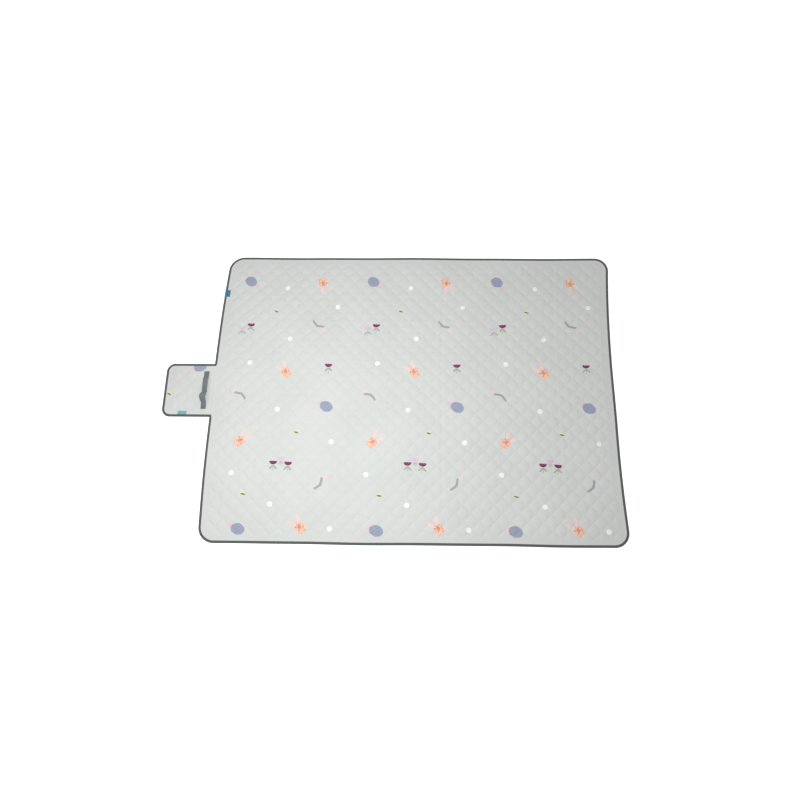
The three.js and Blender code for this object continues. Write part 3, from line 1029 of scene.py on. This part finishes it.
def dense_path(corners, radius, step=1.0 * MM):
    """A line through the corners, with each corner between the ends rounded to the radius.
    Gives positions, and unit vectors square to the line on its left. Each straight run stops a
    radius short of the corner, and a quarter circle joins it to the next."""
    corners = np.array(corners, float)
    here = corners[0]
    places, lefts = [], []

    def straight(end):
        length = np.linalg.norm(end - here)
        count = max(2, int(length / step))
        along = (end - here) / length
        places.append(between(here, end, count))
        lefts.append(np.tile([-along[1], along[0]], (count, 1)))

    for corner, after in zip(corners[1:-1], corners[2:]):
        into = (corner - here) / np.linalg.norm(corner - here)
        onward = (after - corner) / np.linalg.norm(after - corner)
        straight(corner - into * radius)
        turn = np.linspace(0, np.pi / 2, int(radius * 1.6 / step))[1:-1, None]
        from_centre = -np.cos(turn) * onward + np.sin(turn) * into
        places.append(corner - into * radius + onward * radius + from_centre * radius)
        lefts.append(-from_centre)
        here = corner + onward * radius
    straight(corners[-1])
    return np.concatenate(places), np.concatenate(lefts)


def thin_path(places, lefts, keep_near, every=4):
    """Drops most of a dense path's points where nothing bends. keep_near is true at folds."""
    kept = (np.arange(len(places)) % every == 0) | keep_near
    kept[-1] = True
    return places[kept], lefts[kept]


def swept(outer, inner):
    """A closed strip from two arrays of points, both (stations, around, 3). The outer loop and
    the inner one back make a ring at each station, and both ends are capped."""
    ring = np.concatenate([outer, inner[:, ::-1]], axis=1)
    stations, around = ring.shape[:2]
    at = np.arange(stations * around).reshape(stations, around)
    following = np.roll(at, -1, axis=1)
    sides = np.stack([at[:-1], following[:-1], following[1:], at[1:]], axis=-1).reshape(-1, 4)
    half = around // 2
    low = np.arange(half - 1)
    cap = np.stack([low, around - 1 - low, around - 2 - low, low + 1], axis=1)
    last = (stations - 1) * around
    return ring.reshape(-1, 3), np.concatenate([sides, cap, cap[:, ::-1] + last])


print("sweep helpers ready")

# %% [markdown]
# ## One stitch
# The tape, the strap and the patches are sewn with a thick thread. Each stitch is a small
# rounded grain of thread lying half in the cloth, and there are thousands, so a stitch has only
# four sides and four rings.

# %% Stitches
STITCH_LENGTH = 2.5 * MM
STITCH_STEP = 3.5 * MM


def stitches(name, places, ways, up, thickness=0.55 * MM, length=STITCH_LENGTH):
    """Grains of thread at places, lying along ways, on cloth that faces up if up is 1 and down
    if it is -1. Each grain is a square section that swells from both tips to full thickness."""
    ways = ways / np.linalg.norm(ways, axis=1)[:, None]
    ups = np.tile([0, 0, float(up)], (len(places), 1))
    sides = np.cross(ups, ways)
    along = np.array([-0.5, -0.3, 0.3, 0.5]) * length
    radius = np.array([0.3, 1, 1, 0.3]) * thickness / 2
    turn = np.arange(4) * np.pi / 2
    across = (radius[:, None] * np.cos(turn)).ravel()
    height = (radius[:, None] * np.sin(turn)).ravel()
    reach = np.repeat(along, 4)
    points = (places[:, None] + ways[:, None] * reach[:, None]
              + sides[:, None] * across[:, None] + ups[:, None] * height[:, None])
    ring = np.arange(16).reshape(4, 4)
    following = np.roll(ring, -1, axis=1)
    skin = np.stack([ring[:-1], following[:-1], following[1:], ring[1:]], axis=-1).reshape(-1, 4)
    one = np.concatenate([skin, [[3, 2, 1, 0]], [[12, 13, 14, 15]]])
    faces = (one[None] + 16 * np.arange(len(places))[:, None, None]).reshape(-1, 4)
    piece = new_mesh(name, points.reshape(-1, 3), faces, dark_thread)
    store(piece, "cloth", points.reshape(-1, 3))
    return piece


def every_stitch(places, step=STITCH_STEP):
    """Stations at equal steps along a line of points, and the line's direction there."""
    run = run_along(places)
    at = np.arange(step / 2, run[-1] - step / 2, step)
    behind, picked, ahead = [
        np.stack([np.interp(at + shift, run, places[:, k]) for k in range(3)], axis=1)
        for shift in (-0.4 * MM, 0, 0.4 * MM)]
    return picked, ahead - behind


def sewn_lines(name, runs, step, up, **grain):
    """Stitches along straight lines of points, laid as the cloth lies."""
    at, way = [np.concatenate(c) for c in zip(*[every_stitch(run, step) for run in runs])]
    return stitches(name, settle(at), way, up, **grain)


print("a stitch is", STITCH_LENGTH / MM, "mm long, one every", STITCH_STEP / MM, "mm")

# %% [markdown]
# ## Folding the tape
# The tape's cross section is given by how deep each point lies in from the edge: eight points
# on the long leg that shows, five round the edge and four underneath. The thread pulls the long
# leg down along its seam and the cloth crowns between, with a ripple where it gathers. Nine
# lengths of tape are made, cut where the panels meet.

# %% Tape
TAPE_CLOTH = 0.6 * MM
TAPE_SEAM = 9.4 * MM     # the line of stitches, in from the edge
TOP_LEG = np.array([12.0, 11.2, 10.2, 9.4, 8.6, 6.5, 4.0, 2.2]) * MM
LOW_LEG = np.array([2.2, 5.0, 9.4, 12.0]) * MM
TURN = np.radians([65, 35, 0, -35, -65])
TAPE_PULL = 0.22 * MM * np.exp(-(((TOP_LEG - TAPE_SEAM) / (0.8 * MM)) ** 2))
TAPE_CROWN = 0.35 * MM * np.sin(np.pi * np.clip(TOP_LEG / TAPE_SEAM, 0, 1)) ** 2


def folded_strip(places, lefts, top_leg, low_leg, over, under, cloth, outward=0.0):
    """Outer and inner skins of a strip folded round the cloth's edge, along a path. In from the
    edge, the top leg lies over the cover and the low leg under the backing, by the amounts
    given. A half round joins them: a sine in height, one minus a cosine in depth."""
    def level(height, depth):
        at = places[:, None] + lefts[:, None] * depth[None, :, None]
        return height(at[..., 0], at[..., 1])

    top = level(cover_height, top_leg) + over
    low = np.maximum(level(backing_height, low_leg) - under, 0.02 * MM)
    middle = (top[:, -1:] + low[:, :1]) / 2
    half = (top[:, -1:] - low[:, :1]) / 2
    round_depth = top_leg[-1] * (1 - np.cos(TURN)) - outward * np.cos(TURN)
    skins = []
    for inset in (0.0, cloth):
        round_z = middle + (half - inset) * np.sin(TURN) / np.sin(np.radians(80))
        depth = np.concatenate([top_leg, round_depth + inset, low_leg])
        z = np.concatenate([top - inset, round_z, low + inset], axis=1)
        at = places[:, None] + lefts[:, None] * depth[None, :, None]
        dx, dy, dz = lay_of(at[..., 0], at[..., 1])
        skins.append(np.stack([at[..., 0] + dx, at[..., 1] + dy, z + dz], axis=2))
    return skins, np.concatenate([top_leg, round_depth, -low_leg])


def strip_mesh(name, places, skins, depth, material):
    """The strip as a mesh that keeps (along, across, 0) as its cloth place."""
    points, faces = swept(*skins)
    strip = new_mesh(name, points, faces, material)
    around = np.concatenate([depth, depth[::-1]])
    along = run_along(places)[:, None]
    store(strip, "cloth", np.stack(np.broadcast_arrays(along, around[None], 0.0), axis=2))
    return strip


def make_tape(name, corners, radius, panel, nodes):
    """A tape and its thread along a path, with more points kept near the fold of the panel that they
    bind.
    """
    places, lefts = dense_path(corners, radius)
    start, end = np.array(panel["start"][:2]), np.array(panel["end"][:2])
    span = end - start
    share = ((places - start) @ span) / (span @ span)
    places, lefts = thin_path(places, lefts, (share > -0.2) & (share < 1.2))
    run = run_along(places)[:, None]
    ripple = 1 + 0.25 * np.sin(run / 0.0031) * np.sin(run / 0.047)
    over = TAPE_CLOTH + 0.1 * MM + (TAPE_CROWN - TAPE_PULL) * ripple
    skins, depth = folded_strip(places, lefts, TOP_LEG, LOW_LEG, over, TAPE_CLOTH + 0.1 * MM, TAPE_CLOTH)
    tape = strip_mesh(f"tape_{name}", places, skins, depth, tape_finish)
    top_seam = skins[0][:, 3]
    low_seam = skins[0][:, len(TOP_LEG) + len(TURN) + 2]
    threads = []
    for face, seam, up in (("top", top_seam, 1), ("under", low_seam, -1)):
        threads.append(stitches(f"thread_{face}_{name}", *every_stitch(seam), up))
    for piece in (tape, *threads):
        bend(piece, panel)
    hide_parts(*nodes)
    print(name, len(tape.data.polygons), "faces")


panel_of = {p["name"]: p for p in panels}
TUCK = 9 * MM            # the flap's tape runs this far onto the mat, under its tape
far_corners = [(mat_right, piece_edge), (mat_right, mat_far), (mat_left, mat_far),
               (mat_left, piece_edge)]
flap_corners = [(spine_middle, flap_half), (flap_end, flap_half), (flap_end, -flap_half),
                (spine_middle, -flap_half)]
# Each row is a tape's name, its path on the far side, its corner's radius, its panel and what
# it stands for. The near side's tape runs back along the same path, mirrored.
TAPE_PAIRS = [
    ("{}_outer", far_corners, MAT_CORNER, "{}_outer", ["binding_{}_outer"]),
    ("{}_right", [(mat_right, 0), (mat_right, piece_edge)], 0, "{}_inner",
     ["binding_{}_inner_right", "binding_centre_right"]),
    ("{}_left", [(mat_left, piece_edge), (mat_left, flap_half - 2 * MM)], 0, "{}_inner",
     ["binding_{}_inner_left", "binding_centre_left_{}"]),
    ("spine_{}", [(mat_left + TUCK, flap_half), (spine_middle, flap_half)], 0, "spine",
     ["binding_spine_{}"]),
]
for name, corners, radius, panel, nodes in TAPE_PAIRS:
    mirrored = [(x, -y) for x, y in corners[::-1]]
    for side, path in (("far", corners), ("near", mirrored)):
        make_tape(name.format(side), path, radius, panel_of[panel.format(side)],
                  [n.format(side) for n in nodes])
make_tape("flap", flap_corners, FLAP_CORNER, panel_of["flap"], ["binding_flap"])

# %% [markdown]
# ## The carrying strap
# The strap is one length of heavy webbing. Each end is turned under and sewn down with a box
# and a cross, and the middle stands off the flap, low at the far side and humped at the near
# side, where it has been squashed together in the pack. It is swept along a line in the YZ
# plane. There are two halves, because each end leaves the sewn patch across its own bend.

# %% Carrying strap
STRAP_HALF = 12.5 * MM
STRAP_CLOTH = 1.6 * MM
SEWN_BASE = 3.5 * MM     # the sewn ends lie on the flattened quilting
TURNED_AT = 97.3 * MM    # each end turns under this far from the flap's middle
UNDER_END = 76 * MM      # and comes back to here
FREE_FROM = 74 * MM      # between its two sewn ends the strap is free
RISE, RISE_LENGTH = 10 * MM, 24 * MM
HUMP, HUMP_AT, HUMP_HALF = 15 * MM, -38 * MM, 30 * MM
DIP, DIP_AT, DIP_HALF = 3 * MM, -9 * MM, 6 * MM
CUPPED = 2.5 * MM        # how far the hump's edges hang below its middle
PUSHED = 3.5 * MM        # how far the hump is pushed towards the flap's end
SPREAD = 0.22            # and how much wider it is, as a share
LOOSE_OVER = 8 * MM      # only the part of the hump above this height is cupped and pushed


def strap_hump(y):
    """1 at the middle of the hump and 0 past its ends, by a squared cosine."""
    return np.cos(np.pi / 2 * np.clip(np.abs(y - HUMP_AT) / HUMP_HALF, 0, 1)) ** 2


def strap_lift(y):
    """Height of the strap over its sewn ends: a smooth rise at both, a dip, and the hump."""
    rise = RISE * smooth((FREE_FROM - np.abs(y)) / RISE_LENGTH)
    dip = DIP * np.exp(-(((y - DIP_AT) / DIP_HALF) ** 2))
    return rise + HUMP * strap_hump(y) - dip


def strap_line(side):
    """The middle line of one half: in under the end, half a turn, and back over to y = 0."""
    half = STRAP_CLOTH / 2
    turn_radius = half + 0.05 * MM
    under = between((UNDER_END, half), (TURNED_AT, half), 10)
    turn = np.linspace(-90, 90, 9)[1:-1] * np.pi / 180
    round_end = np.stack([TURNED_AT + turn_radius * np.cos(turn),
                          half + turn_radius + turn_radius * np.sin(turn)], axis=1)
    y = np.linspace(TURNED_AT, 0, 66)
    over = np.stack([y, half + 2 * turn_radius + strap_lift(side * y)], axis=1)
    line = np.concatenate([under, round_end, over])
    return np.stack([line[:, 0] * side, line[:, 1] + SEWN_BASE], axis=1)


def webbing_skins(line, across, thickness):
    """Upper and lower skins of webbing along a line in the YZ plane: across lies along X, and
    the selvedges are a little rounder than the middle. In the hump the webbing is cupped by a
    parabola, spread a little and pushed to one side."""
    way = np.gradient(line, axis=0)
    way /= np.linalg.norm(way, axis=1)[:, None]
    off = np.stack([-way[:, 1], way[:, 0]], axis=1)
    round_edge = np.clip((np.abs(across).max() - np.abs(across)) / (1.0 * MM), 0, 1)
    half = thickness / 2 * (0.35 + 0.65 * np.sin(np.pi / 2 * round_edge))
    skins = []
    for sign in (1, -1):
        shape = line[:, None] + sign * off[:, None] * half[None, :, None]
        slack = strap_hump(line[:, :1]) * (line[:, 1:] > LOOSE_OVER)
        shape[..., 1] -= slack * CUPPED * (across / across.max()) ** 2
        x = handle_x - PUSHED * slack + across * (1 + SPREAD * slack)
        skins.append(np.stack([x, shape[..., 0], shape[..., 1]], axis=2))
    return skins


half_across = np.array([0.2, 0.6, 0.9, 0.95, 0.985, 1])
STRAP_ACROSS = STRAP_HALF * np.concatenate([-half_across[::-1], half_across])
for side, word in ((1, "far"), (-1, "near")):
    line = strap_line(side)
    upper, lower = webbing_skins(line, STRAP_ACROSS, STRAP_CLOTH)
    points, faces = swept(upper, lower)
    strap = new_mesh(f"strap_{word}", settle(points), faces, webbing_finish)
    run = run_along(line)[:, None]
    around = np.concatenate([STRAP_ACROSS, STRAP_ACROSS[::-1]])[None]
    store(strap, "cloth", np.stack(np.broadcast_arrays(run, around, 0.0), axis=2))

    top = SEWN_BASE + 2 * STRAP_CLOTH + 0.15 * MM
    x0, x1 = handle_x - 8.5 * MM, handle_x + 8.5 * MM
    y0, y1 = side * 78.5 * MM, side * 95 * MM
    box_and_cross = [[(x0, y0), (x1, y0)], [(x1, y0), (x1, y1)], [(x1, y1), (x0, y1)],
                     [(x0, y1), (x0, y0)], [(x0, y0), (x1, y1)], [(x1, y0), (x0, y1)]]
    runs = [between((*a, top), (*b, top), 30) for a, b in box_and_cross]
    thread = sewn_lines(f"thread_strap_{word}", runs, 3.0 * MM, 1)
    for piece in (strap, thread):
        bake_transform(piece)
    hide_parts("handle_strap", f"handle_end_{word}")
    print(strap.name, len(faces), "faces")

# %% [markdown]
# ## Touch fastener and labels
# A patch of hooks under the flap closes the folded pack onto a patch of loops under the mat.
# Two small woven labels mark the edge: one is wrapped round the tape on the left, and one is
# sewn flat on the flap. All four are thin closed plates that follow the cloth under them.

# %% Patches and labels
def plate(name, box, radius, low, high, material):
    """A thin closed plate over a rounded rectangle box = (x0, x1, y0, y1). low and high give
    the heights of its two skins, and the rim is walled between them."""
    x0, x1, y0, y1 = box
    middle = (y0 + y1) / 2
    xs, ys = np.linspace(x0, x1, 25), np.linspace(y0, y1, 33)
    x, y, faces = trimmed_grid(xs, ys - middle, (x0, x1, (y1 - y0) / 2, radius), 0.0)
    y = y + middle
    rim = np.clip(rounded_inside(x, y - middle, x0, x1, (y1 - y0) / 2, radius) / (0.9 * MM), 0, 1)
    top = np.stack([x, y, high(x, y, rim)], axis=1)
    bottom = np.stack([x, y, low(x, y, rim)], axis=1)
    points, shell = closed_shell(top, bottom, faces)
    piece = new_mesh(name, settle(points), shell, material)
    store(piece, "cloth", points)
    return piece


FINE_STEP = 2.8 * MM     # small pieces are sewn with shorter, thinner stitches
FINE_GRAIN = {"thickness": 0.42 * MM, "length": 2.0 * MM}


def sewn_round(name, box, inset, height, up):
    """Stitches round a box, drawn in by inset, at the height given for any place."""
    x0, x1, y0, y1 = box[0] + inset, box[1] - inset, box[2] + inset, box[3] - inset
    corners = [(x0, y0), (x1, y0), (x1, y1), (x0, y1), (x0, y0)]
    flats = [between(a, b, 40) for a, b in zip(corners, corners[1:])]
    runs = [np.column_stack([flat, height(flat[:, 0], flat[:, 1])]) for flat in flats]
    return sewn_lines(name, runs, FINE_STEP, up, **FINE_GRAIN)


def node_box(node):
    low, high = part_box(node)
    return low.x, high.x, low.y, high.y


for node, body, finish in (("hook_patch", "flap_panel", hook_finish),
                           ("loop_patch", "near_inner_row", loop_finish)):
    patch = plate(f"{node}_tape", node_box(node), 3 * MM,
                  low=lambda x, y, rim: 0.35 * MM - 0.3 * MM * rim,
                  high=lambda x, y, rim: backing_height(x, y) + 0.3 * MM, material=finish)
    thread = sewn_round(f"thread_{node}", node_box(node), 2.4 * MM,
                        lambda x, y: 0.12 * MM + 0 * x, -1)
    for piece in (patch, thread):
        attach(piece, body)
    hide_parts(node)

flap_label = plate("flap_label", node_box("label_flap"), 1 * MM,
                   low=lambda x, y, rim: cover_height(x, y) - 0.3 * MM,
                   high=lambda x, y, rim: cover_height(x, y) + (0.3 + 0.6 * rim) * MM,
                   material=flap_label_finish)
thread = sewn_round("thread_flap_label", node_box("label_flap"), 1.6 * MM,
                    lambda x, y: cover_height(x, y) + 0.95 * MM, 1)
for piece in (flap_label, thread):
    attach(piece, "flap_panel")
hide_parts("label_flap")

# The label at the left edge is wrapped round the tape, and its longer leg lies on the cover.
x0, x1, y0, y1 = node_box("label_side")
places, lefts = dense_path([(mat_left, y1), (mat_left, y0)], 0)
LABEL_CLOTH = 0.5 * MM
long_leg = np.concatenate([(x1 - x0) - np.array([0.0, 0.5, 1.5]) * MM,
                           np.array([16, 14, 13, 12, 11, 8, 5, 2.2]) * MM])
over_tape = 1.05 * MM * (1 - smooth((long_leg - TAPE_WIDTH) / (2.5 * MM)))
skins, depth = folded_strip(places, lefts, long_leg, LOW_LEG, over_tape + LABEL_CLOTH + 0.1 * MM,
                            TAPE_CLOTH + LABEL_CLOTH, LABEL_CLOTH, outward=0.7 * MM)
side_label = strip_mesh("side_label", places, skins, depth, side_label_finish)
label_seam = every_stitch(skins[0][:, 2], FINE_STEP)
thread = stitches("thread_side_label", *label_seam, 1, **FINE_GRAIN)
for piece in (side_label, thread):
    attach(piece, "far_outer_row")
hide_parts("label_side")
print("patches and labels done")

# %% [markdown]
# ## The room and the light
# The blanket lies on a plain white floor, in even white light from all round. One soft lamp
# hangs nearly two metres above it, a little to the left of its middle and nearer the front.
# Straight below the lamp the light is flat. Further out it comes in at a slant and shades one
# side of each puff, most of all at the right-hand end.

# %% Floor, light and camera
FLOOR_HALF = 9.0
floor_corners = FLOOR_HALF * np.array([[-1, -1, 0], [1, -1, 0], [1, 1, 0], [-1, 1, 0]])
floor = new_mesh("floor", floor_corners, [[0, 1, 2, 3]], bpy.data.materials.new("studio_floor"))
floor.location.z = -0.5 * MM
floor.data.materials[0].use_nodes = True
shader = floor.data.materials[0].node_tree.nodes["Principled BSDF"]
shader.inputs["Base Color"].default_value = (0.92, 0.92, 0.92, 1)
shader.inputs["Roughness"].default_value = 1.0
shader.inputs["Specular IOR Level"].default_value = 0.0
shader.inputs["Emission Color"].default_value = (1, 1, 1, 1)
shader.inputs["Emission Strength"].default_value = 0.6

world = bpy.data.worlds.new("room")
world.use_nodes = True
world.node_tree.nodes["Background"].inputs["Color"].default_value = (1, 1, 1, 1)
world.node_tree.nodes["Background"].inputs["Strength"].default_value = 0.57
bpy.context.scene.world = world


def aim(piece, place, target, roll=0.0):
    """Puts a lamp or camera at a place, looking at a target, with its top leaning by roll."""
    back = np.array(place, float) - np.array(target, float)
    back /= np.linalg.norm(back)
    right = np.cross([0, 0, 1.0], back)
    right /= np.linalg.norm(right)
    top = np.cross(back, right)
    c, s = np.cos(roll), np.sin(roll)
    turned = np.stack([c * right + s * top, c * top - s * right, back], axis=1)
    matrix = np.eye(4)
    matrix[:3, :3] = turned
    matrix[:3, 3] = place
    piece.matrix_world = Matrix(matrix.tolist())


def soft_light(name, place, target, size, watts):
    lamp = bpy.data.lights.new(name, "AREA")
    lamp.shape = "DISK"
    lamp.size = size
    lamp.energy = watts
    piece = bpy.data.objects.new(name, lamp)
    piece.visible_camera = False
    bpy.context.scene.collection.objects.link(piece)
    aim(piece, place, target)


soft_light("key", (-0.35, -0.3, 1.85), (-0.3, -0.2, 0.0), 0.6, 23.5)

camera = bpy.data.objects.new("camera", bpy.data.cameras.new("camera"))
bpy.context.scene.collection.objects.link(camera)
camera.data.sensor_width = 36
camera.data.lens = 29.17
CAMERA_AT = np.array([0.1206, -1.0358, 3.0541])
PITCH, YAW, ROLL = np.radians([71.97, 3.508, -2.892])
looking = np.array([-np.sin(YAW) * np.cos(PITCH), np.cos(YAW) * np.cos(PITCH), -np.sin(PITCH)])
aim(camera, CAMERA_AT, CAMERA_AT + looking, ROLL)
bpy.context.scene.camera = camera
bpy.context.scene.view_settings.view_transform = "Standard"
